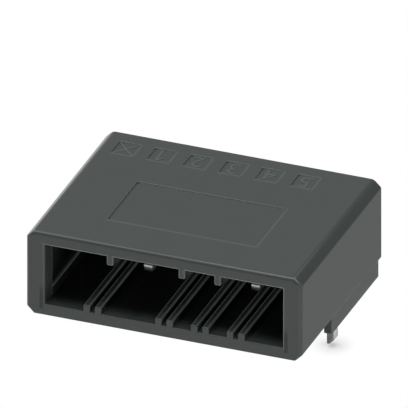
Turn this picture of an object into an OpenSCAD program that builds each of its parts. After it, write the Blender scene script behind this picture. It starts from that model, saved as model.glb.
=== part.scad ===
// Right-angle board header: a moulded plug housing with a row of bent tab contacts
// and two hold-down legs. All sizes in millimetres.
// X runs along the row, -Y is the side that the plug comes from, and +Z points up.
// The origin is on the board's surface, in the middle of the row of solder tails.

/* [Row] */
// Number of contacts in the row
positions = 5; // [2:1:8]
// Spacing of the contacts along the row
pitch = 3.81; // [3.5:0.01:5.08]
// Positions that have a pair of coding ribs on the socket's floor
rib_places = [1, 3, 4, 5]; // [1:1:8]
// Gaps between positions that have a coding key on the socket's ceiling
key_places = [1, 3, 4]; // [1:1:8]

/* [Housing] */
// From the outermost contact's centre to the side of the housing
end_margin = 7.03; // [6:0.01:10]
// Depth of the housing from its mouth to its rear
housing_depth = 22.1; // [21.5:0.1:30]
// Height of the housing without its skirts
housing_height = 9.43; // [8.5:0.01:14]
// Gap between the board and the underside of the housing
stand_off = 1.2; // [0.5:0.1:3]
// Thickness of the top wall
top_wall = 1.4; // [1:0.05:2]
// Thickness of the floor under the socket
floor_wall = 1.36; // [1:0.02:2]
// Thickness of the side walls
side_wall = 2; // [1.7:0.05:3]
// Width of the chamfers on the four long edges
long_chamfer = 0.78; // [0.5:0.02:1.2]
// Radius that blends the chamfers into the top and the underside
chamfer_blend = 0.8; // [0.3:0.1:1.2]
// Radius that blends the chamfers into the sides
side_blend = 0.35; // [0.1:0.05:0.5]
// Radius of the rounded edge round the mouth's face
front_round = 0.45; // [0.1:0.05:0.8]

/* [Skirts] */
// Thickness of the skirts that stand on the board
skirt_wall = 0.78; // [0.5:0.02:1.2]
// Step from the side of the housing in to the skirt
skirt_inset = 0.12; // [0.05:0.01:0.3]
// From the mouth's face to the front end of the skirts
skirt_start = 8.6; // [4:0.1:10]
// From the rear end of the skirts to the rear of the housing
skirt_end_gap = 0.5; // [0.2:0.1:3]
// Bevel under the front end of the skirts
skirt_bevel = 0.2; // [0.1:0.05:0.8]

/* [Socket] */
// Depth of the socket behind the mouth's face
socket_depth = 14.5; // [12:0.1:15]
// Thickness of the web that holds the contacts
web = 2.5; // [1.5:0.1:3]
// Width of a coding rib
rib_width = 0.74; // [0.4:0.02:0.9]
// Height of a coding rib
rib_height = 0.72; // [0.3:0.02:1]
// Distance between the two ribs of a pair
rib_spread = 1.21; // [1:0.01:1.5]
// Width of a coding key
key_width = 0.78; // [0.4:0.02:1]
// Height of a coding key
key_height = 0.97; // [0.5:0.01:1.4]
// Length of the lip in front of each latch recess
latch_lip = 2.2; // [1:0.1:4]
// Length of a latch recess
latch_length = 8.2; // [4:0.1:8.4]
// Depth of a latch recess into the side wall
latch_depth = 0.35; // [0.2:0.05:0.9]
// Height of wall left below and above a latch recess
latch_margin = 0.96; // [0.5:0.02:2]

/* [Contacts] */
// Width of a contact
tab_width = 0.94; // [0.6:0.02:1.2]
// Thickness of the contact strip
tab_thickness = 0.64; // [0.4:0.02:0.8]
// Height of the contacts' centre above the underside of the housing
tab_height = 4.33; // [3.5:0.01:6]
// From the mouth's face to the contacts' tips
tip_setback = 5.6; // [3:0.05:8]
// Length of the bevel round the tips, along the contact
tip_bevel = 0.07; // [0.05:0.01:0.25]
// How far that bevel comes in on each side of a tip
tip_inset = 0.19; // [0.05:0.01:0.19]
// Width of the shoulder that seats on the web
shoulder_width = 1.6; // [1.3:0.05:2.4]
// Length of the shoulder
shoulder_length = 0.8; // [0.4:0.1:1.2]
// Inside radius of the bend
bend_radius = 0.4; // [0.2:0.05:0.8]
// From the mouth's face to the centre of the solder tails
tail_setback = 19.6; // [19.3:0.05:20.5]
// How far the solder tails reach below the board's surface
tail_length = 3.05; // [2:0.05:5]
// Gap on each side of a contact in the web
contact_gap = 0.02; // [0.01:0.01:0.1]

/* [Hold-downs] */
// Thickness of a hold-down leg across the side wall
leg_thickness = 0.75; // [0.5:0.05:0.9]
// Width of a hold-down leg along the side wall
leg_width = 1.12; // [0.8:0.02:1.6]
// From the row of tails forward to the hold-downs' centres
leg_lead = 7.62; // [6:0.01:7.8]
// Wall left between the socket and a hold-down
leg_cover = 0.31; // [0.2:0.01:0.5]
// How far a hold-down reaches up into the housing
leg_grip = 4.6; // [2:0.1:6]
// How far the hold-down legs reach below the board's surface
leg_reach = 2.67; // [2:0.01:5]
// Bevel on the outer side of a leg's tip
leg_bevel = 0.48; // [0.2:0.02:0.6]
// Gap on each side of a hold-down in its pocket
leg_gap = 0.02; // [0.01:0.01:0.1]

/* [Marks] */
// Depth of the sunk fields on the top
mark_depth = 0.15; // [0.05:0.01:0.4]
// Width of a position's field
field_width = 2.25; // [1.5:0.05:3]
// Length of a position's field
field_length = 2.4; // [1.5:0.05:3]
// From the rear of the housing to the position fields
field_rear = 1.65; // [1:0.05:4]
// Width of the plain panel on the top
panel_width = 15.8; // [5:0.1:15.8]
// Length of the plain panel
panel_length = 8.3; // [3:0.05:9]
// From the mouth's face to the plain panel
panel_setback = 5; // [2:0.05:8]

/* [Hidden] */
$fn = 48;
// Overrun of the cutting shapes past a face
over = 1;
// Angle between the points of a blend
blend_step = 7.5;

half_row = (positions - 1) * pitch / 2;
half_width = half_row + end_margin;
front = -tail_setback;
rear = front + housing_depth;
base = stand_off;
top = base + housing_height;

socket_half = half_width - side_wall;
socket_floor = base + floor_wall;
socket_ceiling = top - top_wall;
socket_end = front + socket_depth;
web_end = socket_end + web;
tab_z = base + tab_height;

leg_x = socket_half + leg_cover + leg_thickness / 2;
leg_top = base + leg_grip;

// Place of a position along the row, counted from 1
function place(i) = (i - 1) * pitch - half_row;

// Points of a blend arc round a centre
function blend(x, z, radius, from, to) = [
    for (a = [from:blend_step:to]) [x + radius * cos(a), z + radius * sin(a)]
];

// A box given by its low and high corners
module span(low, high) {
    translate(low) cube(high - low);
}

// Section of the housing across its depth, with the chamfers blended in
module section() {
    flat_x = half_width - long_chamfer - chamfer_blend * tan(22.5);
    flat_z = chamfer_blend;
    side_x = half_width - side_blend;
    side_z = long_chamfer + side_blend * tan(22.5);
    polygon(concat(
        blend(side_x, top - side_z, side_blend, 0, 45),
        blend(flat_x, top - flat_z, chamfer_blend, 45, 90),
        blend(-flat_x, top - flat_z, chamfer_blend, 90, 135),
        blend(-side_x, top - side_z, side_blend, 135, 180),
        blend(-side_x, base + side_z, side_blend, 180, 225),
        blend(-flat_x, base + flat_z, chamfer_blend, 225, 270),
        blend(flat_x, base + flat_z, chamfer_blend, 270, 315),
        blend(side_x, base + side_z, side_blend, 315, 360)
    ));
}

// Outline of a slab across the depth, centred on its height, with its two front corners rounded
module rounded_outline(height) {
    difference() {
        translate([0, -height / 2]) square([housing_depth + over, height]);
        for (side = [-1, 1]) scale([1, side]) {
            translate([0, height / 2 - front_round]) difference() {
                translate([-over, 0]) square([front_round + over, front_round + over]);
                translate([front_round, 0]) circle(front_round);
            }
        }
    }
}

// Slab that rounds two opposite front edges, turned about the depth axis
module rounding_slab(height, turn) {
    reach = 2 * (half_width + housing_height);
    translate([0, front, (base + top) / 2]) rotate([0, turn, 0]) rotate([90, 0, 90])
        translate([0, 0, -reach / 2]) linear_extrude(reach) rounded_outline(height);
}

// Solid block of the housing with its chamfers and its rounded front
module block() {
    across_chamfers = sqrt(2) * (half_width + housing_height / 2 - long_chamfer);
    intersection() {
        translate([0, rear, 0]) rotate([90, 0, 0]) linear_extrude(housing_depth) section();
        rounding_slab(housing_height, 0);
        rounding_slab(2 * half_width, 90);
        rounding_slab(across_chamfers, 45);
        rounding_slab(across_chamfers, -45);
    }
}

// Coding ribs and keys that stand into the socket
module coding() {
    for (i = rib_places, side = [-1, 1]) if (i <= positions) {
        middle = place(i) + side * rib_spread / 2;
        span([middle - rib_width / 2, front - 2 * over, socket_floor - over],
             [middle + rib_width / 2, socket_end + over, socket_floor + rib_height]);
    }
    for (i = key_places) if (i < positions) {
        middle = place(i) + pitch / 2;
        span([middle - key_width / 2, front - 2 * over, socket_ceiling - key_height],
             [middle + key_width / 2, socket_end + over, socket_ceiling + over]);
    }
}

// Space that the plug enters, with its latch recesses
module socket_space() {
    difference() {
        span([-socket_half, front - over, socket_floor], [socket_half, socket_end, socket_ceiling]);
        coding();
    }
    latch_half = socket_half + latch_depth;
    latch_start = front + latch_lip;
    for (side = [0, 1]) mirror([side, 0, 0])
        span([socket_half - over, latch_start, socket_floor + latch_margin],
             [latch_half, latch_start + latch_length, socket_ceiling - latch_margin]);
}

// Bay behind the web, open to the rear and to the board
module tail_bay() {
    span([-socket_half, web_end, base - over], [socket_half, rear + over, socket_ceiling]);
}

// Slots in the web for the contacts
module contact_slots() {
    half_slot = tab_width / 2 + contact_gap;
    half_height = tab_thickness / 2 + contact_gap;
    for (i = [1:positions])
        span([place(i) - half_slot, socket_end - over, tab_z - half_height],
             [place(i) + half_slot, web_end + over, tab_z + half_height]);
}

// Pockets in the side walls for the hold-downs
module leg_pockets() {
    for (side = [0, 1]) mirror([side, 0, 0])
        span([leg_x - leg_thickness / 2 - leg_gap, -leg_lead - leg_width / 2 - leg_gap, -over],
             [leg_x + leg_thickness / 2 + leg_gap, -leg_lead + leg_width / 2 + leg_gap, leg_top]);
}

// Skirts that carry the side walls down to the board
module skirts() {
    start = front + skirt_start;
    end = rear - skirt_end_gap;
    upper = base + long_chamfer;
    for (side = [0, 1]) mirror([side, 0, 0])
        translate([half_width - skirt_inset - skirt_wall, 0, 0]) rotate([90, 0, 90]) linear_extrude(skirt_wall)
            polygon([[start + skirt_bevel, 0], [end, 0], [end, upper], [start, upper], [start, skirt_bevel]]);
}

// Sunk fields on the top: one for each position, one for the coded end and a plain panel
module marks() {
    field_end = rear - field_rear;
    panel_start = front + panel_setback;
    for (i = [0:positions])
        span([place(i) - field_width / 2, field_end - field_length, top - mark_depth],
             [place(i) + field_width / 2, field_end, top + over]);
    span([-panel_width / 2, panel_start, top - mark_depth],
         [panel_width / 2, panel_start + panel_length, top + over]);
}

module housing() {
    color([0.31, 0.325, 0.32]) difference() {
        union() {
            difference() {
                block();
                socket_space();
                tail_bay();
            }
            skirts();
        }
        contact_slots();
        leg_pockets();
        marks();
    }
}

// Straight strip along +Y with a bevelled tip at its start
module tipped_strip(length, width, thickness) {
    intersection() {
        translate([0, 0, -thickness]) linear_extrude(2 * thickness) polygon([
            [-width / 2 + tip_inset, 0], [width / 2 - tip_inset, 0], [width / 2, tip_bevel],
            [width / 2, length], [-width / 2, length], [-width / 2, tip_bevel]
        ]);
        rotate([90, 0, 90]) translate([0, 0, -width]) linear_extrude(2 * width) polygon([
            [0, -thickness / 2 + tip_inset], [tip_bevel, -thickness / 2], [length, -thickness / 2],
            [length, thickness / 2], [tip_bevel, thickness / 2], [0, thickness / 2 - tip_inset]
        ]);
    }
}

// Stamped contact: tab, seating shoulder, bend and solder tail
module contact(i) {
    bend_start = -tab_thickness / 2 - bend_radius;
    bend_low = tab_z + bend_start;
    tip = front + tip_setback;
    color([0.78, 0.78, 0.76]) translate([place(i), 0, 0]) {
        translate([0, tip, tab_z]) tipped_strip(bend_start - tip, tab_width, tab_thickness);
        span([-shoulder_width / 2, web_end, tab_z - tab_thickness / 2],
             [shoulder_width / 2, web_end + shoulder_length, tab_z + tab_thickness / 2]);
        translate([-tab_width / 2, bend_start, bend_low]) rotate([90, 0, 90])
            rotate_extrude(angle = 90) translate([bend_radius, 0]) square([tab_thickness, tab_width]);
        translate([0, 0, -tail_length]) rotate([90, 0, 0])
            tipped_strip(bend_low + tail_length, tab_width, tab_thickness);
    }
}

// Straight hold-down leg, bevelled on its outer side at the tip
module hold_down() {
    inner = leg_x - leg_thickness / 2;
    outer = leg_x + leg_thickness / 2;
    color([0.74, 0.74, 0.72])
        translate([0, leg_width / 2 - leg_lead, 0]) rotate([90, 0, 0]) linear_extrude(leg_width) polygon([
            [inner, -leg_reach], [outer - leg_bevel, -leg_reach],
            [outer, leg_bevel - leg_reach], [outer, leg_top], [inner, leg_top]
        ]);
}

housing();
for (i = [1:positions]) contact(i);
mirror([1, 0, 0]) hold_down();  // hold_down_left
hold_down();  // hold_down_right
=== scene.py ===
import math

import bpy
import numpy as np
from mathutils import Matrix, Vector


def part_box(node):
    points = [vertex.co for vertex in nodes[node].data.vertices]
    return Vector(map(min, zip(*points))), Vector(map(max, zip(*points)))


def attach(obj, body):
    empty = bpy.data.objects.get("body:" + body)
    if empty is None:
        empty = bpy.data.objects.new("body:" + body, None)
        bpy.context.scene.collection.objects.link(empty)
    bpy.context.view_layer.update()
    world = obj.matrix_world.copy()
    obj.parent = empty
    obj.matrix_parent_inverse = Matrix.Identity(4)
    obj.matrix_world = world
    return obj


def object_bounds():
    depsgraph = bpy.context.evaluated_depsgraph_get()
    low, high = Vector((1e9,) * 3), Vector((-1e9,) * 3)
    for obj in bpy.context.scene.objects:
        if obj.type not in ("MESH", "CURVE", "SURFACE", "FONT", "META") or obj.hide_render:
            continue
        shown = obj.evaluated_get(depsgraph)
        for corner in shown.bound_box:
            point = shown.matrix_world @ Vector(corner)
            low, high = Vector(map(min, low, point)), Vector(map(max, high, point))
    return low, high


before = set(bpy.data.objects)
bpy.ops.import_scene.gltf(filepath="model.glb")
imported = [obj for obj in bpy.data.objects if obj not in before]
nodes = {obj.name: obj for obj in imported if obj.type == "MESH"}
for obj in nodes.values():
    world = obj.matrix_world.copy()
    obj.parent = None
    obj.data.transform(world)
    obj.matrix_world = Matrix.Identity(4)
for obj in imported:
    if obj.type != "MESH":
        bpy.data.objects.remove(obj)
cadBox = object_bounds()
mm = 0.001  # the scene is in metres, the values in the dictionaries in millimetres
contactNames = sorted(n for n in nodes if n.startswith("contact_"))
holdDownNames = sorted(n for n in nodes if n.startswith("hold_down_"))
print("frame:", len(nodes), "nodes,", len(contactNames), "contacts")

# Places on the housing, read from the frame, with the sizes inside it repeated from the part
sizes = {
    "underside": 1.2,  # height of the box's underside above the board
    "sideWall": 2.0,
    "socketFloor": 1.36,  # thickness of the wall below the socket
    "socketCeiling": 1.4,
    "socketDepth": 14.5,
    "ribHeight": 0.72,
    "keyHeight": 0.97,
    "latchSetback": 2.2,  # from the front to the latch recesses
    "latchLength": 8.2,
    "latchMargin": 0.96,  # from a recess to the socket's floor and ceiling
    "panelSetback": 5.0,
    "panelLength": 8.3,
}
housingLow, housingHigh = [np.array(corner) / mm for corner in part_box("housing")]
contactCentres = [float(sum(corner.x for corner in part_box(n))) / 2 / mm for n in contactNames]
pitch = contactCentres[1] - contactCentres[0]
front, rear = housingLow[1], housingHigh[1]
halfWidth, top = housingHigh[0], housingHigh[2]
underside = sizes["underside"]
socket = {
    "half": halfWidth - sizes["sideWall"],
    "floor": underside + sizes["socketFloor"],
    "ceiling": top - sizes["socketCeiling"],
    "end": front + sizes["socketDepth"],
    "latchFrom": front + sizes["latchSetback"],
}
socket["ribTop"] = socket["floor"] + sizes["ribHeight"]
socket["keyBottom"] = socket["ceiling"] - sizes["keyHeight"]
socket["latchTo"] = socket["latchFrom"] + sizes["latchLength"]
socket["latchLow"] = socket["floor"] + sizes["latchMargin"]
socket["latchHigh"] = socket["ceiling"] - sizes["latchMargin"]
fields = {"width": 2.25, "length": 2.4, "rearGap": 1.65, "depth": 0.15}
panel = {"half": 7.9, "from": front + sizes["panelSetback"]}
panel["to"] = panel["from"] + sizes["panelLength"]
fieldCentres = [contactCentres[0] - pitch] + contactCentres
fieldTo = rear - fields["rearGap"]
fieldFrom = fieldTo - fields["length"]


def addNode(tree, kind, values=None, **settings):
    # one node, with its settings, and its inputs linked or set
    node = tree.nodes.new(kind)
    for name, value in settings.items():
        setattr(node, name, value)
    for key, value in (values or {}).items():
        if isinstance(value, bpy.types.NodeSocket):
            tree.links.new(value, node.inputs[key])
        else:
            node.inputs[key].default_value = value
    return node


def calc(tree, operation, *values):
    # one Math node, returned as its output
    return addNode(tree, "ShaderNodeMath", dict(enumerate(values)), operation=operation).outputs[0]


def times(tree, product, *factors):
    for factor in factors:
        product = calc(tree, "MULTIPLY", product, factor)
    return product


def largest(tree, most, *others):
    for other in others:
        most = calc(tree, "MAXIMUM", most, other)
    return most


def below(tree, value, limit):
    # 1 where the value is below a limit in millimetres
    return calc(tree, "LESS_THAN", value, limit * mm)


def above(tree, value, limit):
    return calc(tree, "GREATER_THAN", value, limit * mm)


def away(tree, value, centre):
    # distance of a value from a centre in millimetres
    return calc(tree, "ABSOLUTE", calc(tree, "SUBTRACT", value, centre * mm))


def raised(tree, shade, mask, share):
    # the shade with a share added where the mask is 1
    return calc(tree, "MULTIPLY_ADD", mask, share, shade)


def darkened(tree, shade, mask, share):
    # the shade with a share of it taken off where the mask is 1
    return times(tree, shade, calc(tree, "SUBTRACT", 1.0, times(tree, mask, share)))


def ramp(tree, value, low, high):
    # 0 at low, 1 at high, with soft ends
    ends = {"Value": value, "From Min": low, "From Max": high}
    return addNode(tree, "ShaderNodeMapRange", ends, interpolation_type="SMOOTHSTEP").outputs[0]


def rampMm(tree, value, low, high):
    return ramp(tree, value, low * mm, high * mm)


def band(tree, value, low, high, soft=0.04):
    # 1 between low and high, with soft ends inside them
    rise = rampMm(tree, value, low, low + soft)
    return calc(tree, "SUBTRACT", rise, rampMm(tree, value, high - soft, high))


def vectorCalc(tree, operation, *values):
    # one Vector Math node, returned as its first output
    values = dict(enumerate(values))
    return addNode(tree, "ShaderNodeVectorMath", values, operation=operation).outputs[0]


def splitAxes(tree, vector):
    return addNode(tree, "ShaderNodeSeparateXYZ", {0: vector}).outputs


def boxReach(tree, place, low, high, slack=0.0):
    # below 0 inside a box
    centre = [(a + b) / 2 * mm for a, b in zip(low, high)]
    half = [(abs(b - a) / 2 + slack) * mm for a, b in zip(low, high)]
    offset = vectorCalc(tree, "ABSOLUTE", vectorCalc(tree, "SUBTRACT", place, centre))
    return largest(tree, *splitAxes(tree, vectorCalc(tree, "SUBTRACT", offset, half)))


vectorKind, valueKind = "NodeSocketVector", "NodeSocketFloat"


def newGroup(name, kind, inputs, outputs):
    # node group with named inputs and outputs, each with its kind of socket
    tree = bpy.data.node_groups.new(name, kind)
    for direction, sockets in (("INPUT", inputs), ("OUTPUT", outputs)):
        for label, socketKind in sockets.items():
            tree.interface.new_socket(label, in_out=direction, socket_type=socketKind)
    return tree, addNode(tree, "NodeGroupInput").outputs


def geometryGroup(name):
    ends = {"Geometry": "NodeSocketGeometry"}
    tree, start = newGroup(name, "GeometryNodeTree", ends, ends)
    return tree, start[0]


def dropNormals(tree, geometry):
    # the geometry without the normals that came with the frame
    values = {0: geometry, "Name": "custom_normal"}
    return addNode(tree, "GeometryNodeRemoveAttribute", values).outputs[0]


def addObject(name, data):
    obj = bpy.data.objects.new(name, data)
    bpy.context.scene.collection.objects.link(obj)
    return obj


def dress(obj, *materials):
    obj.data.materials.clear()
    for material in materials:
        obj.data.materials.append(material)


# Edge rounding of the pieces from the frame
rounding = {
    "widest": 0.2,  # radius at a weight of 1
    "segments": 3,
    "mouth": 0.17,
    "coding": 0.17,
    "latch": 0.1,
    "marks": 0.05,
    "skirts": 0.05,
    "contacts": 0.025,
    "holdDowns": 0.035,
    "skirtInner": 0.9,  # from the part's side to the inner edge of a skirt's foot
    "skirtOuter": 0.12,  # and to its outer edge
    "slack": 0.012,  # past a zone's box
    "lengthwise": 0.95,  # least share of an edge's run that follows the ribs
    "foldedAbove": 0.2,  # bend in radians from which an edge is rounded
    "metalAbove": 30.0,  # the same for the metal, in degrees
    "smoothBelow": 38.0,  # degrees
    "merge": 0.002,  # distance between points that become one
    "flatBelow": 0.01,  # radians between faces that become one
}


def housingZones():
    # boxes that hold both ends of an edge, each with its radius, and if only lengthwise edges count
    half, low, high, end = (socket[key] for key in ("half", "floor", "ceiling", "end"))
    zones = [([-half, front, low], [half, front, high], rounding["mouth"], False)]
    for level in (socket["ribTop"], socket["keyBottom"]):
        zones.append(([-half, front, level], [half, end, level], rounding["coding"], True))
    for x in fieldCentres:
        left, right = x - fields["width"] / 2, x + fields["width"] / 2
        zones.append(([left, fieldFrom, top], [right, fieldTo, top], rounding["marks"], False))
    panelLow, panelHigh = [-panel["half"], panel["from"], top], [panel["half"], panel["to"], top]
    zones.append((panelLow, panelHigh, rounding["marks"], False))
    for side in (-1, 1):
        latchLow = [side * half, socket["latchFrom"], socket["latchLow"]]
        latchHigh = [side * half, socket["latchTo"], socket["latchHigh"]]
        zones.append((latchLow, latchHigh, rounding["latch"], False))
        inner, outer = (side * (halfWidth - rounding[key]) for key in ("skirtInner", "skirtOuter"))
        zones.append(([inner, front, 0], [outer, rear, 0], rounding["skirts"], False))
    return zones


def edgeWeights(zones):
    # node group that gives each edge with both ends in a zone the weight radius / widest
    tree, geometry = geometryGroup("housingEdges")
    ends = addNode(tree, "GeometryNodeInputMeshEdgeVertices").outputs
    first, second = ends["Position 1"], ends["Position 2"]
    bend = addNode(tree, "GeometryNodeInputMeshEdgeAngle").outputs["Unsigned Angle"]
    run = vectorCalc(tree, "NORMALIZE", vectorCalc(tree, "SUBTRACT", second, first))
    run = splitAxes(tree, vectorCalc(tree, "ABSOLUTE", run))[1]
    weights = []
    for low, high, radius, lengthwise in zones:
        reach = [boxReach(tree, end, low, high, rounding["slack"]) for end in (first, second)]
        weight = times(tree, below(tree, largest(tree, *reach), 0.0), radius / rounding["widest"])
        if lengthwise:
            weight = times(tree, weight, calc(tree, "GREATER_THAN", run, rounding["lengthwise"]))
        weights.append(weight)
    folded = calc(tree, "GREATER_THAN", bend, rounding["foldedAbove"])
    values = {
        "Geometry": dropNormals(tree, geometry),
        "Name": "bevel_weight_edge",
        "Value": times(tree, largest(tree, *weights), folded),
    }
    kind = "GeometryNodeStoreNamedAttribute"
    store = addNode(tree, kind, values, data_type="FLOAT", domain="EDGE")
    addNode(tree, "NodeGroupOutput", {0: store.outputs[0]})
    return tree


# Colours of the housing's faces, in the order of its materials: the plain plastic, then paler
# colours that paint highlights and light
plainAndPaintedLight = (
    "plain",
    "edge",  # outer rounded edges, a painted highlight
    "pale",  # edges and ledges in the socket, a painted highlight
    "rim",  # painted highlights on the left edge of the mouth and the rims of the fields, painted light on the fronts of the skirts
    "wall",  # painted light on the walls of the fields and the lower edge of the mouth's lintel
    "mouth",  # right edge of the mouth, a painted highlight
)
toLeft, toRight, toFront, toRear = (-1, 0, 0), (1, 0, 0), (0, -1, 0), (0, 1, 0)
upward, downward = (0, 0, 1), (0, 0, -1)
# Places of the paler colours that paint highlights and light
painting = {
    "turned": 0.3,  # least cosine between a face and the side that it is turned to
    "sideStrip": 1.8,  # left out at each side of the top
    "frontStrip": 1.0,
    "rearStrip": 0.3,
    "markDeep": 0.3,
    "topSlack": 0.1,
    "skirtFrom": 8.0,  # from the front, where the skirts begin
    "skirtTo": 9.3,
    "skirtHigh": 0.9,  # above the box's underside
    "footLow": 0.1,
    "footHigh": 0.2,
    "mouthBefore": 0.05,
    "mouthDeep": 0.25,
    "mouthReach": 0.3,  # on both sides of the mouth's edges
    "sillHigh": 1.1,
    "lintelLow": 1.3,
    "wallSlack": 0.05,
    "ledgeFrom": 1.0,
    "ledgeLow": 0.3,
    "ledgeHigh": 0.2,
    "ledgeInner": 0.1,
    "ledgeOuter": 0.5,
}


def housingFinishes():
    # box, side, colour before and after: where the paler colours paint highlights and light
    p = painting
    half, low, high, end = (socket[key] for key in ("half", "floor", "ceiling", "end"))
    markSide = halfWidth - p["sideStrip"]
    markLow = [-markSide, front + p["frontStrip"], top - p["markDeep"]]
    markHigh = [markSide, rear - p["rearStrip"], top + p["topSlack"]]
    markChanges = (
        (toRear, "edge", "plain"), (toLeft, "edge", "plain"),
        (toFront, "edge", "rim"), (toRight, "edge", "rim"),
        (toFront, "plain", "wall"), (toRight, "plain", "wall"),
    )
    rules = [(markLow, markHigh, *change) for change in markChanges]
    skirtLow = [-halfWidth, front + p["skirtFrom"], -p["footLow"]]
    skirtHigh = [halfWidth, front + p["skirtTo"], underside + p["skirtHigh"]]
    rules.append((skirtLow, skirtHigh, toFront, "plain", "rim"))
    footLow, footHigh = [-halfWidth, front, -p["footLow"]], [halfWidth, rear, p["footHigh"]]
    rules.append((footLow, footHigh, None, "edge", "plain"))
    innerHalf = half + p["wallSlack"]
    innerLow = [-innerHalf, front + p["mouthDeep"], low]
    rules.append((innerLow, [innerHalf, end, high], None, "edge", "pale"))
    reach = p["mouthReach"]
    mouthFrom, mouthTo = front - p["mouthBefore"], front + p["mouthDeep"]
    mouthLow = [-half - reach, mouthFrom, low - reach]
    mouthHigh = [half + reach, mouthTo, high + reach]
    leftHigh, rightLow = [reach - half, *mouthHigh[1:]], [half - reach, *mouthLow[1:]]
    sillHigh = [*mouthHigh[:2], low + p["sillHigh"]]
    lintelLow = [*mouthLow[:2], high - p["lintelLow"]]
    rules += [
        (mouthLow, leftHigh, toRight, "edge", "rim"),
        (rightLow, mouthHigh, toLeft, "edge", "mouth"),
        (mouthLow, sillHigh, None, "edge", "plain"),
        (lintelLow, mouthHigh, downward, "edge", "wall"),
    ]
    for side in (-1, 1):
        inner, outer = side * (half - p["ledgeInner"]), side * (half + p["ledgeOuter"])
        ledgeLow = [inner, front + p["ledgeFrom"], low + p["ledgeLow"]]
        ledgeHigh = [outer, end, socket["latchLow"] + p["ledgeHigh"]]
        rules.append((ledgeLow, ledgeHigh, upward, "plain", "pale"))
    return rules


def paintFaces(rules):
    # node group that gives the faces of one colour in a box, turned to a side, another colour,
    # which places the painted highlights and light
    tree, geometry = geometryGroup("housingFinishes")
    place = addNode(tree, "GeometryNodeInputPosition").outputs[0]
    normal = addNode(tree, "GeometryNodeInputNormal").outputs[0]
    colourChoice = addNode(tree, "GeometryNodeInputMaterialIndex").outputs[0]
    for low, high, side, colourFrom, colourTo in rules:
        same = calc(tree, "COMPARE", colourChoice, plainAndPaintedLight.index(colourFrom), 0.5)
        chosen = times(tree, below(tree, boxReach(tree, place, low, high), 0.0), same)
        if side is not None:
            values = {0: normal, 1: side}
            turned = addNode(tree, "ShaderNodeVectorMath", values, operation="DOT_PRODUCT")
            turned = calc(tree, "GREATER_THAN", turned.outputs["Value"], painting["turned"])
            chosen = times(tree, chosen, turned)
        values = {0: geometry, 1: chosen, 2: plainAndPaintedLight.index(colourTo)}
        geometry = addNode(tree, "GeometryNodeSetMaterialIndex", values).outputs[0]
    addNode(tree, "NodeGroupOutput", {0: geometry})
    return tree


def smoothGroup():
    # smooth faces, with the edges above the angle kept sharp
    tree, geometry = geometryGroup("smoothShading")
    bend = addNode(tree, "GeometryNodeInputMeshEdgeAngle").outputs["Unsigned Angle"]
    sharp = calc(tree, "GREATER_THAN", bend, math.radians(rounding["smoothBelow"]))
    kind = "GeometryNodeSetShadeSmooth"
    smooth = addNode(tree, kind, {0: dropNormals(tree, geometry), 2: True}, domain="FACE")
    crease = addNode(tree, kind, {0: smooth.outputs[0], 1: sharp, 2: False}, domain="EDGE")
    addNode(tree, "NodeGroupOutput", {0: crease.outputs[0]})
    return tree


smoothShading = smoothGroup()


def addGroupModifier(obj, name, tree):
    modifier = obj.modifiers.new(name, "NODES")
    modifier.node_group = tree


def cleanFrameMesh(obj):
    # merges the loose triangles and takes the flat ones together
    weld = obj.modifiers.new("merge", "WELD")
    weld.merge_threshold = rounding["merge"] * mm
    flat = obj.modifiers.new("flatFaces", "DECIMATE")
    flat.decimate_type = "DISSOLVE"
    flat.angle_limit = rounding["flatBelow"]


def addBevel(obj, method, radius):
    bevel = obj.modifiers.new("roundedEdges", "BEVEL")
    bevel.limit_method = method
    bevel.width = radius * mm
    bevel.segments = rounding["segments"]
    bevel.use_clamp_overlap = False
    bevel.loop_slide = False
    return bevel


def finishNormals(obj):
    addGroupModifier(obj, "smoothShading", smoothShading)
    weighted = obj.modifiers.new("flatNormals", "WEIGHTED_NORMAL")
    weighted.keep_sharp = True


def roundHousing(obj):
    cleanFrameMesh(obj)
    addGroupModifier(obj, "edgeWeights", edgeWeights(housingZones()))
    # the rounded edges take the paler edge colour, a painted highlight
    addBevel(obj, "WEIGHT", rounding["widest"]).material = plainAndPaintedLight.index("edge")
    addGroupModifier(obj, "paintFaces", paintFaces(housingFinishes()))
    finishNormals(obj)


def roundMetal(obj, radius):
    cleanFrameMesh(obj)
    addBevel(obj, "ANGLE", radius).angle_limit = math.radians(rounding["metalAbove"])
    finishNormals(obj)


# Grain of the plastic and the metal
grain = {
    "fineDetail": 2.0,
    "coarseScale": 0.03,
    "middleScale": 0.35,
    "fineShare": 0.7,
    "middleShare": 0.3,
}


def grainGroup():
    # fine moulded or rolled grain: a mottle over some millimetres, a fleck and a height
    inputs = {"Vector": vectorKind, "Scale": valueKind, "Stretch": vectorKind}
    outputs = dict.fromkeys(("Mottle", "Fleck", "Height"), valueKind)
    tree, start = newGroup("fineGrain", "ShaderNodeTree", inputs, outputs)
    place = vectorCalc(tree, "MULTIPLY", start["Vector"], start["Stretch"])
    fineValues = {"Vector": place, "Scale": start["Scale"], "Detail": grain["fineDetail"]}
    fine = addNode(tree, "ShaderNodeTexNoise", fineValues).outputs[0]
    scales = [times(tree, start["Scale"], grain[key]) for key in ("coarseScale", "middleScale")]
    coarse, middle = [
        addNode(tree, "ShaderNodeTexNoise", {"Vector": place, "Scale": scale}).outputs[0]
        for scale in scales
    ]
    height = times(tree, middle, grain["middleShare"])
    height = raised(tree, height, fine, grain["fineShare"])
    addNode(tree, "NodeGroupOutput", {"Mottle": coarse, "Fleck": middle, "Height": height})
    return tree


fineGrain = grainGroup()
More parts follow.
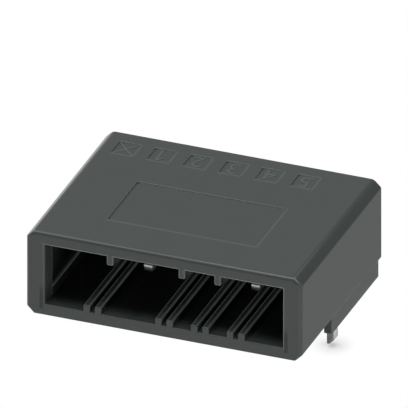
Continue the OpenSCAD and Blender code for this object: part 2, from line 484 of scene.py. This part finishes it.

# Painted shade and light in the socket: inputs that each colour of the plastic can change, and
# places
socketPaintedTone = {
    "Dark": 0.12,  # share of the colour left deep in the socket, a painted shade
    "Rib Share": 0.65,  # and on the ribs' tops, where less shade is painted
    "Fade": 2.6,  # depth behind the mouth at which that is reached
    "Wall Slack": -0.02,  # how far past a side wall the socket counts as inside
    "Wall Lift": 0.0,  # painted light: added share of the colour beside the side walls
    "Lip Edge": 2.5,  # and a painted highlight along the rear edge of the side walls' front parts
    "Lip Lift": 1.2,  # and painted light on those parts, in front of the latch recesses
    "Side Dark": 0.85,  # painted shade: share taken off the side walls deep in the socket
}
socketPlaces = {
    "fadeFrom": 0.1,
    "heightSlack": 0.5,
    "endSlack": 0.2,
    "ribBand": 0.03,
    "wallBand": 0.02,
    "lipFrom": 0.15,
    "lipMargin": 0.02,
    "lipEdgeFrom": 0.3,
    "lipEdgePast": 0.05,
    "besideWall": 0.15,
    "footHigh": 2.2,  # height over which painted shade darkens the front parts to their foot
    "footDark": 0.26,
    "sideFrom": 0.2,
    "sideFade": 5.0,
    "recessFrom": 0.08,
    "recessTo": 0.6,
    "recessSoft": 0.12,
    "recessHigh": 1.7,  # height over which painted shade darkens a recess to its ledge
    "recessDark": 0.8,
}


def socketShadeGroup():
    # 1 outside the socket, and painted shade and light inside it
    p = socketPlaces
    inputs = {"Vector": vectorKind, **dict.fromkeys(socketPaintedTone, valueKind)}
    tree, start = newGroup("socketPaintedShade", "ShaderNodeTree", inputs, {"Shade": valueKind})
    x, y, z = splitAxes(tree, start["Vector"])
    across = calc(tree, "ABSOLUTE", x)
    half, low, high, latch = (socket[key] for key in ("half", "floor", "ceiling", "latchFrom"))
    halfHeight = (high - low) / 2
    level = away(tree, z, (low + high) / 2)
    within = below(tree, level, halfHeight + p["heightSlack"])
    within = times(tree, within, below(tree, y, socket["end"] + p["endSlack"]))
    # painted shade, darker with the depth, less so on the ribs' tops
    fadeEnd = calc(tree, "MULTIPLY_ADD", start["Fade"], mm, front * mm)
    depth = ramp(tree, y, (front + p["fadeFrom"]) * mm, fadeEnd)
    wall = calc(tree, "MULTIPLY_ADD", start["Wall Slack"], mm, half * mm)
    inside = times(tree, calc(tree, "LESS_THAN", across, wall), within)
    onRib = below(tree, away(tree, z, socket["ribTop"]), p["ribBand"])
    ribChange = calc(tree, "SUBTRACT", start["Rib Share"], start["Dark"])
    change = raised(tree, calc(tree, "SUBTRACT", start["Dark"], 1.0), onRib, ribChange)
    shade = raised(tree, 1.0, times(tree, depth, inside), change)
    # painted light on the side walls' front parts, and on what lies beside the walls
    lip = below(tree, away(tree, across, half), p["wallBand"])
    lip = times(tree, lip, below(tree, y, latch), above(tree, y, front + p["lipFrom"]))
    lip = times(tree, lip, below(tree, level, halfHeight - p["lipMargin"]))
    atEdge = band(tree, y, latch - p["lipEdgeFrom"], latch + p["lipEdgePast"])
    beside = above(tree, across, half - p["besideWall"])
    shade = raised(tree, shade, times(tree, lip, atEdge), start["Lip Edge"])
    shade = raised(tree, shade, times(tree, inside, beside), start["Wall Lift"])
    shade = raised(tree, shade, lip, start["Lip Lift"])
    foot = rampMm(tree, z, low + p["footHigh"], low)
    shade = darkened(tree, shade, times(tree, foot, lip), p["footDark"])
    # painted shade on the side walls behind them, and in the recesses towards the ledge
    behind = rampMm(tree, y, latch + p["sideFrom"], latch + p["sideFade"])
    onSide = times(tree, band(tree, across, half - p["wallBand"], half + p["recessTo"]), within)
    shade = darkened(tree, shade, times(tree, behind, onSide), start["Side Dark"])
    lowDown = rampMm(tree, z, socket["latchLow"] + p["recessHigh"], socket["latchLow"])
    inner = band(tree, across, half + p["recessFrom"], half + p["recessTo"], p["recessSoft"])
    shade = darkened(tree, shade, times(tree, lowDown, inner, onSide), p["recessDark"])
    addNode(tree, "NodeGroupOutput", {"Shade": shade})
    return tree


# Painted highlights and shade round the sunk fields and the panel on the top
rims = {
    "lift": 0.6,  # painted highlight: added share of the colour along the rims
    "front": 0.44,
    "right": 0.34,
    "rear": 0.2,
    "rearShare": 0.4,
    "full": 0.4,  # share of a rim's width that is fully raised
    "inward": 0.2,  # share of a rim's width on the edge's inner side
    "corner": 0.45,  # share of a rim's width by which the next rim passes the corner
    "cornerDark": 0.25,  # painted shade: share of the colour taken off a field's floor beside its left wall
    "cornerLift": 0.7,  # and painted light added in front of its rear wall
    "darkWide": 0.2,
    "lightWide": 0.3,
    "lightPast": 0.1,
    "soft": 0.1,
    "topSlack": 0.05,
    "floorSlack": 0.03,
}


def fadeOut(tree, value, edge, width):
    # 1 at the edge, falling to 0 over the width on its outer side, and 0 on its inner side
    fall = rampMm(tree, value, edge + width, edge + rims["full"] * width)
    beyond = above if width > 0 else below
    return times(tree, fall, beyond(tree, value, edge - rims["inward"] * width))


def boxRim(tree, x, y, low, high):
    # painted highlights on the rims in front of, to the right of and behind a field, and painted
    # shade and light at its walls' foot
    left, right, near, far = low[0], high[0], low[1], high[1]
    wideX = band(tree, x, left, right + rims["corner"] * rims["right"])
    wideY = band(tree, y, near - rims["corner"] * rims["front"], far)
    before = times(tree, wideX, fadeOut(tree, y, near, -rims["front"]))
    beside = times(tree, wideY, fadeOut(tree, x, right, rims["right"]))
    behind = times(tree, wideX, fadeOut(tree, y, far, rims["rear"]), rims["rearShare"])
    dark = band(tree, x, left, left + rims["darkWide"], rims["soft"])
    dark = times(tree, dark, -rims["cornerDark"], band(tree, y, near, far))
    light = band(tree, y, far - rims["lightWide"], far + rims["lightPast"], rims["soft"])
    lightX = band(tree, x, left + rims["darkWide"], right, rims["soft"])
    foot = raised(tree, dark, times(tree, light, lightX), rims["cornerLift"])
    return largest(tree, before, beside, behind), foot


def rimShadeGroup():
    # 1 over the part, raised by painted highlights along the rims, with painted shade and light on
    # the fields' floors
    inputs = {"Vector": vectorKind, "Lift": valueKind}
    tree, start = newGroup("rimPaintedLight", "ShaderNodeTree", inputs, {"Shade": valueKind})
    x, y, z = splitAxes(tree, start["Vector"])
    fromFirst = calc(tree, "SUBTRACT", x, fieldCentres[0] * mm)
    inField = calc(tree, "WRAP", fromFirst, pitch / 2 * mm, -pitch / 2 * mm)
    halfField = fields["width"] / 2
    rim, foot = boxRim(tree, inField, y, (-halfField, fieldFrom), (halfField, fieldTo))
    inRow = below(tree, x, fieldCentres[-1] + pitch / 2)
    panelLow, panelHigh = (-panel["half"], panel["from"]), (panel["half"], panel["to"])
    panelRim, panelFoot = boxRim(tree, x, y, panelLow, panelHigh)
    onTop = above(tree, z, top - rims["topSlack"])
    onFloor = below(tree, away(tree, z, top - fields["depth"]), rims["floorSlack"])
    rim = times(tree, largest(tree, times(tree, rim, inRow), panelRim), onTop)
    foot = times(tree, raised(tree, panelFoot, foot, inRow), onFloor)
    shade = calc(tree, "ADD", raised(tree, 1.0, rim, start["Lift"]), foot)
    addNode(tree, "NodeGroupOutput", {"Shade": shade})
    return tree


socketPaintedShade = socketShadeGroup()
rimPaintedLight = rimShadeGroup()

# Painted highlights on the rounded edges round the mouth's face: added shares of the colour, and
# ranges of the normal
fillets = {
    "depth": 0.46,  # behind the front
    "lift": 0.55,
    "chamferLift": 0.7,  # more where they follow a chamfer
    "leftLift": 0.7,  # and on the left
    "rightLift": 0.4,  # on the right
    "turnFrom": (0.05, 0.2),
    "turnTo": (0.45, 0.65),
    "chamfer": (0.03, 0.12),
    "left": (-0.15, -0.4),
    "rightFrom": (0.08, 0.35),
    "rightTo": (0.7, 0.92),
}


def between(tree, value, rise, fall):
    # 1 between two ranges of the value
    return calc(tree, "SUBTRACT", ramp(tree, value, *rise), ramp(tree, value, *fall))


def filletShade(tree, place):
    # 1 over the part, raised by a painted highlight on the rounded edges round the mouth's face
    nearFront = below(tree, splitAxes(tree, place)[1], front + fillets["depth"])
    nx, ny, nz = splitAxes(tree, addNode(tree, "ShaderNodeNewGeometry").outputs["Normal"])
    facing = times(tree, ny, -1.0)
    turned = between(tree, facing, fillets["turnFrom"], fillets["turnTo"])
    slant = calc(tree, "ABSOLUTE", times(tree, nx, nz))
    chamfer = ramp(tree, slant, *fillets["chamfer"])
    lift = raised(tree, fillets["lift"], chamfer, fillets["chamferLift"])
    lift = raised(tree, lift, ramp(tree, nx, *fillets["left"]), fillets["leftLift"])
    right = between(tree, nx, fillets["rightFrom"], fillets["rightTo"])
    shade = raised(tree, 1.0, times(tree, right, nearFront), fillets["rightLift"])
    return raised(tree, shade, times(tree, turned, nearFront), lift)


def newMaterial(name):
    material = bpy.data.materials.new(name)
    material.use_nodes = True
    material.node_tree.nodes.clear()
    return material, material.node_tree


def placeGroup(tree, group, values):
    return addNode(tree, "ShaderNodeGroup", values, node_tree=group).outputs


def spread(tree, value, centre, width):
    # centre + width * (value - 0.5)
    return calc(tree, "MULTIPLY_ADD", calc(tree, "SUBTRACT", value, 0.5), width, centre)


def grainedMaterial(name, look, colour, roughness, tone, settings):
    # material with the fine grain, its colour times the mottle and the painted shade and light of
    # the place
    material, tree = newMaterial(name)
    place = addNode(tree, "ShaderNodeTexCoord").outputs["Object"]
    grainValues = {"Vector": place, "Scale": look["grainPerMm"] / mm, "Stretch": look["stretch"]}
    grained = placeGroup(tree, fineGrain, grainValues)
    mottle = spread(tree, grained["Mottle"], 1.0, look["mottleSpread"])
    colourValues = {0: colour, "Scale": times(tree, mottle, *tone(tree, place))}
    shaded = addNode(tree, "ShaderNodeVectorMath", colourValues, operation="SCALE").outputs[0]
    bumpValues = {"Height": grained["Height"], "Distance": look["grainDepth"] * mm}
    shader = addNode(tree, "ShaderNodeBsdfPrincipled", {
        "Base Color": shaded,
        "Roughness": spread(tree, grained["Fleck"], roughness, look["roughnessSpread"]),
        "Normal": addNode(tree, "ShaderNodeBump", bumpValues).outputs[0],
        **settings,
    })
    addNode(tree, "ShaderNodeOutputMaterial", {"Surface": shader.outputs[0]})
    return material


# Plastic of the housing: a material for its plain colour and for each paler colour that paints
# highlights and light, and one for the marks
plastic = {
    "roughness": 0.24,
    "edgeRoughness": 0.3,
    "roughnessSpread": 0.06,
    "mottleSpread": 0.06,
    "grainPerMm": 9.0,
    "grainDepth": 0.0025,
    "stretch": (1.0, 1.0, 1.0),
    "specular": 0.5,
    "plain": (0.0402, 0.0485, 0.046),
    # the colours below are paler copies of the plain one: painted highlights on edges and rims,
    # painted light on walls
    "edge": (0.1, 0.112, 0.108),
    "pale": (0.095, 0.104, 0.101),
    "rim": (0.08, 0.09, 0.087),
    "wall": (0.2, 0.219, 0.212),
    "mouth": (0.165, 0.182, 0.176),
    # the marks' colour is paler than the plain one: a painted highlight on the raised strokes
    "mark": (0.067, 0.076, 0.0735),
}
noDepthShade = {"Dark": 1.0, "Rib Share": 1.0}  # no painted shade deepening with the depth
# the pale socket colour: painted highlights that grow brighter with the depth, and painted light
# beside the walls
socketHighlightTone = {
    "Dark": 2.2, "Rib Share": 2.2, "Fade": 6.0, "Wall Slack": 0.5, "Wall Lift": 1.15,
    "Side Dark": 0.0, "Lip Lift": 0.0, "Lip Edge": 0.0,
}


def plasticMaterial(name, colourChoice, roughness, changes):
    def tone(tree, place):
        socketValues = {"Vector": place, **socketPaintedTone, **changes}
        shades = [
            placeGroup(tree, socketPaintedShade, socketValues)["Shade"],
            placeGroup(tree, rimPaintedLight, {"Vector": place, "Lift": rims["lift"]})["Shade"],
        ]
        return shades + ([filletShade(tree, place)] if colourChoice == "plain" else [])

    settings = {"Specular IOR Level": plastic["specular"]}
    return grainedMaterial(name, plastic, plastic[colourChoice], plastic[roughness], tone, settings)


housingMaterials = [
    plasticMaterial("housingPlastic", "plain", "roughness", {}),
    plasticMaterial("housingEdge", "edge", "edgeRoughness", noDepthShade),
    plasticMaterial("paleEdge", "pale", "edgeRoughness", socketHighlightTone),
    plasticMaterial("figurePlastic", "rim", "roughness", noDepthShade),
    plasticMaterial("wallPlastic", "wall", "edgeRoughness", noDepthShade),
    plasticMaterial("mouthPlastic", "mouth", "edgeRoughness", noDepthShade),
]
# paler than the plain plastic: a painted highlight on the raised marks
markPlastic = plasticMaterial("markPlastic", "mark", "roughness", noDepthShade)

# Tinned metal of the contacts and the hold-downs
tin = {"roughnessSpread": 0.14, "mottleSpread": 0.12, "grainPerMm": 14.0, "grainDepth": 0.002}
contactLook = {
    **tin,
    "colour": (0.6, 0.6, 0.588),
    "roughness": 0.32,
    "metallic": 0.75,
    "stretch": (1.0, 0.12, 1.0),
    "tipDepth": 0.12,
    "tipDark": 0.75,  # painted shade: share taken off the lower half of a contact's tip
    "darkBelow": 0.24,  # from the contact's upper side
    "lightAbove": 0.1,
}
holdDownLook = {
    **tin,
    "colour": (0.99, 0.99, 0.975),
    "roughness": 0.26,
    "metallic": 1.0,
    "stretch": (1.0, 1.0, 0.12),
    "middleLift": 0.1,  # painted highlight: added share of the colour along the middle of a hold-down's side
    "middleFrom": 0.15,
    "middleTo": 0.2,
    "middleSoft": 0.2,
    "rearDark": 0.32,  # painted shade: share taken off towards its rear
    "rearFrom": 0.45,
    "rearTo": 0.1,
}


def tipShade(tree, place):
    # 1 over a contact, lower on the lower half of its tip, a painted shade
    look = contactLook
    _, y, z = splitAxes(tree, place)
    low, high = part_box(contactNames[0])
    atTip = below(tree, y, low.y / mm + look["tipDepth"])
    upper = rampMm(tree, z, high.z / mm - look["darkBelow"], high.z / mm - look["lightAbove"])
    lower = calc(tree, "SUBTRACT", 1.0, upper)
    return [darkened(tree, 1.0, times(tree, atTip, lower), look["tipDark"])]


def legShade(tree, place):
    # 1 at the front of a hold-down leg, raised by a painted highlight in its middle and lowered by
    # painted shade at its rear
    look = holdDownLook
    y = splitAxes(tree, place)[1]
    low, high = [corner.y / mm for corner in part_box("hold_down_right")]
    middle = band(tree, y, low + look["middleFrom"], high - look["middleTo"], look["middleSoft"])
    behind = rampMm(tree, y, high - look["rearFrom"], high - look["rearTo"])
    shade = raised(tree, 1.0, middle, look["middleLift"])
    return [raised(tree, shade, behind, -look["rearDark"])]


def tinMaterial(name, look, tone):
    settings = {"Metallic": look["metallic"]}
    return grainedMaterial(name, look, look["colour"], look["roughness"], tone, settings)


contactTin = tinMaterial("contactTin", contactLook, tipShade)
holdDownTin = tinMaterial("holdDownTin", holdDownLook, legShade)

# Rounding and materials of the frame's pieces
dress(nodes["housing"], *housingMaterials)
roundHousing(nodes["housing"])
for name in contactNames:
    dress(nodes[name], contactTin)
    roundMetal(nodes[name], rounding["contacts"])
for name in holdDownNames:
    dress(nodes[name], holdDownTin)
    roundMetal(nodes[name], rounding["holdDowns"])
print("frame pieces: rounded and dressed")

# Raised marks in the sunk fields, which read from the rear
marks = {
    "height": 2.1,  # of a figure
    "textSize": 1.42,  # size of the text for a height of 1
    "thin": 0.012,  # taken off each side of a figure's stroke
    "raise": 0.035,  # above the field's floor
    "sink": 0.03,  # below it
    "shift": 0.07,  # to the rear of the field's middle
    "crossWidth": 2.2,
    "crossLength": 2.35,
    "crossStroke": 0.22,
    "soften": 0.02,
    "oneStroke": 0.27,
    "oneBar": 0.2,  # from the figure's middle to its bar
    "oneFlag": 0.3,  # and to the tip of its flag
    "oneTip": 0.45,  # depth of the flag's tip below the top
    "oneTipLow": 0.73,
    "oneJoin": 0.4,
}


def meshFromCurve(curve):
    # the curve or text as a mesh with a thickness, in its own flat place
    curve.bevel_depth = marks["soften"] * mm
    curve.bevel_resolution = 1
    curve.extrude = (marks["raise"] + marks["sink"]) / 2 * mm - curve.bevel_depth
    name = curve.name
    holder = addObject(name, curve)
    graph = bpy.context.evaluated_depsgraph_get()
    mesh = bpy.data.meshes.new_from_object(holder.evaluated_get(graph))
    bpy.data.objects.remove(holder)
    mesh.name = name
    return mesh


def figureMesh(figure, name):
    curve = bpy.data.curves.new(name, "FONT")
    curve.body = figure
    curve.size = marks["height"] * marks["textSize"] * mm
    curve.offset = -marks["thin"] * mm
    return meshFromCurve(curve)


def outlineMesh(name, outline):
    # a flat shape given by its corners, taken round once
    curve = bpy.data.curves.new(name, "CURVE")
    curve.dimensions = "2D"
    curve.fill_mode = "BOTH"
    line = curve.splines.new("POLY")
    line.points.add(len(outline) - 1)
    for point, (x, y) in zip(line.points, outline):
        point.co = (x * mm, y * mm, 0, 1)
    line.use_cyclic_u = True
    return meshFromCurve(curve)


def crossMesh(name):
    # two crossed bars from corner to corner
    a, b = marks["crossWidth"] / 2, marks["crossLength"] / 2
    length = math.hypot(a, b)
    w = marks["crossStroke"] / 2
    dx, dy = w * length / b, w * length / a  # reach of a bar's edge along each axis
    return outlineMesh(name, [
        (dx, 0), (a, b - dy), (a - dx, b), (0, dy), (dx - a, b), (-a, b - dy),
        (-dx, 0), (-a, dy - b), (dx - a, -b), (0, -dy), (a - dx, -b), (a, dy - b),
    ])


def oneMesh(name):
    # a bar with a flag
    w, h = marks["oneStroke"], marks["height"] / 2
    bar, flag = marks["oneBar"], -marks["oneFlag"]
    return outlineMesh(name, [
        (bar, -h), (bar + w, -h), (bar + w, h), (w, h),
        (flag, h - marks["oneTip"]), (flag, h - marks["oneTipLow"]), (bar, h - marks["oneJoin"]),
    ])


def placeMark(mesh, x):
    # turned to read from the rear, centred in the field at x and set on its floor
    points = np.empty(len(mesh.vertices) * 3)
    mesh.vertices.foreach_get("co", points)
    points = points.reshape(-1, 3)
    centre = (points.min(0) + points.max(0)) / 2
    level = top - fields["depth"] + (marks["raise"] - marks["sink"]) / 2
    target = np.array([x, (fieldFrom + fieldTo) / 2 + marks["shift"], level]) * mm
    points = (points - centre) * [-1, -1, 1] + target
    mesh.vertices.foreach_set("co", points.ravel())
    mesh.update()
    obj = addObject(mesh.name, mesh)
    dress(obj, markPlastic)
    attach(obj, "root")


placeMark(crossMesh("mark_cross"), fieldCentres[0])
placeMark(oneMesh("mark_1"), contactCentres[0])
for number, x in list(enumerate(contactCentres, 1))[1:]:
    placeMark(figureMesh(str(number), f"mark_{number}"), x)
print("marks:", len(fieldCentres))

# Camera at the photograph's angle
view = {
    "azimuth": 21.04,
    "elevation": 28.684,
    "width": 40.487,
    "aim": (-0.710, -6.583, 9.610),
    "back": 150.0,
    "clip": (1.0, 10000.0),
}


def makeCamera():
    a, e = math.radians(view["azimuth"]), math.radians(view["elevation"])
    back = Vector((math.sin(a) * math.cos(e), -math.cos(a) * math.cos(e), math.sin(e)))
    data = bpy.data.cameras.new("camera")
    data.type = "ORTHO"
    data.ortho_scale = view["width"] * mm
    data.clip_start, data.clip_end = [distance * mm for distance in view["clip"]]
    camera = addObject("camera", data)
    camera.location = Vector(view["aim"]) * mm + back * view["back"] * mm
    camera.rotation_mode = "QUATERNION"
    camera.rotation_quaternion = (-back).to_track_quat("-Z", "Y")
    bpy.context.scene.camera = camera


makeCamera()

# Pale floor at the tips of the tails
floor = {
    "size": 3000.0,
    "colour": (0.82, 0.82, 0.82, 1.0),
    "white": (1.0, 1.0, 1.0, 1.0),
    "contactReach": 2.05,
    "contactPower": 1.12,
    "contactSamples": 24,
    "mirrorNear": 1.0,  # level that shiny surfaces see in front of the part
    "mirrorFar": 0.5,  # and beside and behind it
    "mirrorFrom": -26.0,
    "mirrorTo": -14.0,
    "mirrorLeft": 0.9,  # and far to its left
    "leftFrom": -18.0,
    "leftTo": -28.0,
    "underInner": 0.5,  # from the housing's side inwards, where the floor below it ends
    "underOuter": 2.5,
    "underLong": 3.0,
}


def underPart(tree, place):
    # 1 on the floor below the housing, 0 from a few millimetres outside it
    x, y, _ = splitAxes(tree, place)
    halfLength = (rear - front) / 2
    overX = halfWidth - floor["underInner"], halfWidth + floor["underOuter"]
    outX = rampMm(tree, calc(tree, "ABSOLUTE", x), *overX)
    fromMiddle = away(tree, y, (front + rear) / 2)
    outY = rampMm(tree, fromMiddle, halfLength, halfLength + floor["underLong"])
    return calc(tree, "SUBTRACT", 1.0, largest(tree, outX, outY))


def mirrorLevel(tree, place):
    # light that shiny surfaces see on the floor
    x, y, _ = splitAxes(tree, place)
    back = rampMm(tree, y, floor["mirrorFrom"], floor["mirrorTo"])
    level = raised(tree, floor["mirrorNear"], back, floor["mirrorFar"] - floor["mirrorNear"])
    left = rampMm(tree, x, floor["leftFrom"], floor["leftTo"])
    return largest(tree, level, times(tree, left, floor["mirrorLeft"]))


def seenDirectly(tree, paths):
    return largest(tree, paths["Is Camera Ray"], paths["Is Transmission Ray"])


def mixLevels(tree, factor, low, high):
    values = {"Factor": factor, "A": low, "B": high}
    return addNode(tree, "ShaderNodeMix", values, data_type="FLOAT").outputs[0]


def mixShaders(tree, factor, first, second):
    values = {0: factor, 1: first.outputs[0], 2: second.outputs[0]}
    return addNode(tree, "ShaderNodeMixShader", values)


def floorMaterial():
    # white with a contact shade where it is seen, a pale floor for the light that it sends back
    material, tree = newMaterial("paleFloor")
    paths = addNode(tree, "ShaderNodeLightPath").outputs
    place = addNode(tree, "ShaderNodeTexCoord").outputs["Object"]
    reach = {"Distance": floor["contactReach"] * mm}
    near = addNode(tree, "ShaderNodeAmbientOcclusion", reach, samples=floor["contactSamples"])
    shade = calc(tree, "POWER", near.outputs["AO"], floor["contactPower"])
    direct = seenDirectly(tree, paths)
    glow = times(tree, shade, mixLevels(tree, direct, mirrorLevel(tree, place), 1.0))
    white = addNode(tree, "ShaderNodeEmission", {"Color": floor["white"], "Strength": glow})
    lit = addNode(tree, "ShaderNodeBsdfDiffuse", {"Color": floor["colour"]})
    clearOf = calc(tree, "SUBTRACT", 1.0, underPart(tree, place))
    seen = largest(tree, direct, times(tree, paths["Is Glossy Ray"], clearOf))
    both = mixShaders(tree, seen, lit, white)
    fromBelow = addNode(tree, "ShaderNodeNewGeometry").outputs["Backfacing"]
    surface = mixShaders(tree, fromBelow, both, addNode(tree, "ShaderNodeBsdfTransparent"))
    addNode(tree, "ShaderNodeOutputMaterial", {"Surface": surface.outputs[0]})
    return material


def makeFloor():
    half = floor["size"] / 2 * mm
    level = cadBox[0].z
    mesh = bpy.data.meshes.new("floor")
    corners = [(-half, -half), (half, -half), (half, half), (-half, half)]
    mesh.from_pydata([(x, y, level) for x, y in corners], [], [(0, 1, 2, 3)])
    obj = addObject("floor", mesh)
    dress(obj, floorMaterial())


# Soft studio dome
dome = {
    # height of the ray, light
    "levels": (
        (0.0, 0.16), (0.3, 0.3), (0.47, 0.5), (0.55, 0.42), (0.64, 0.38),
        (0.74, 0.5), (0.82, 1.3), (0.88, 2.5), (1.0, 2.6),
    ),
    "white": (1.0, 1.0, 1.0, 1.0),
    "glossyLift": 0.1,
    "rightDark": 0.45,  # share taken off on the right, below a height of about 0.75
    "rightFrom": (-0.32, 0.05),  # range of the ray's x over which that sets in
    "rightHeight": (0.82, 0.7),  # and of its height
    "leftGlow": 0.45,  # added near the horizon far on the left
    "leftFrom": (-0.4, -0.58),
    "leftHeight": (0.45, 0.3),
}


def domeLight(tree, height):
    # light from the dome at a height of the ray
    curve = addNode(tree, "ShaderNodeFloatCurve", {"Value": height})
    points = curve.mapping.curves[0].points
    peak = max(level for _, level in dome["levels"])
    first, *inner, last = [(at, level / peak) for at, level in dome["levels"]]
    points[0].location, points[-1].location = first, last
    for at, level in inner:
        points.new(at, level)
    curve.mapping.update()
    return times(tree, curve.outputs[0], peak)


def makeDome():
    world = bpy.data.worlds.new("studioDome")
    world.use_nodes = True
    tree = world.node_tree
    tree.nodes.clear()
    paths = addNode(tree, "ShaderNodeLightPath").outputs
    ray = addNode(tree, "ShaderNodeTexCoord").outputs["Generated"]
    across, _, height = splitAxes(tree, ray)
    right = ramp(tree, across, *dome["rightFrom"])
    right = times(tree, right, ramp(tree, height, *dome["rightHeight"]))
    left = ramp(tree, across, *dome["leftFrom"])
    left = times(tree, left, ramp(tree, height, *dome["leftHeight"]))
    light = darkened(tree, domeLight(tree, height), right, dome["rightDark"])
    light = raised(tree, light, left, dome["leftGlow"])
    glossy = times(tree, paths["Is Glossy Ray"], dome["glossyLift"])
    shown = largest(tree, seenDirectly(tree, paths), glossy)
    values = {"Color": dome["white"], "Strength": mixLevels(tree, shown, light, 1.0)}
    background = addNode(tree, "ShaderNodeBackground", values)
    addNode(tree, "ShaderNodeOutputWorld", {"Surface": background.outputs[0]})
    bpy.context.scene.world = world


# Soft lamp under the socket's ceiling, which shows the ribs
lamp = {
    "from": front + 3.0,
    "to": socket["end"] - 0.3,
    "half": socket["half"] - 0.3,
    "height": socket["ceiling"] - 0.05,
    "radiance": 0.38,
}


def makeLamp():
    data = bpy.data.lights.new("socketLamp", "AREA")
    data.shape = "RECTANGLE"
    data.size, data.size_y = 2 * lamp["half"] * mm, (lamp["to"] - lamp["from"]) * mm
    data.energy = lamp["radiance"] * math.pi * data.size * data.size_y
    obj = addObject("socketLamp", data)
    obj.location = (0.0, (lamp["from"] + lamp["to"]) / 2 * mm, lamp["height"] * mm)
    obj.visible_camera = obj.visible_glossy = obj.visible_transmission = False


makeFloor()
makeDome()
makeLamp()
bpy.context.scene.view_settings.view_transform = "Standard"
print("stage: floor, dome and camera")
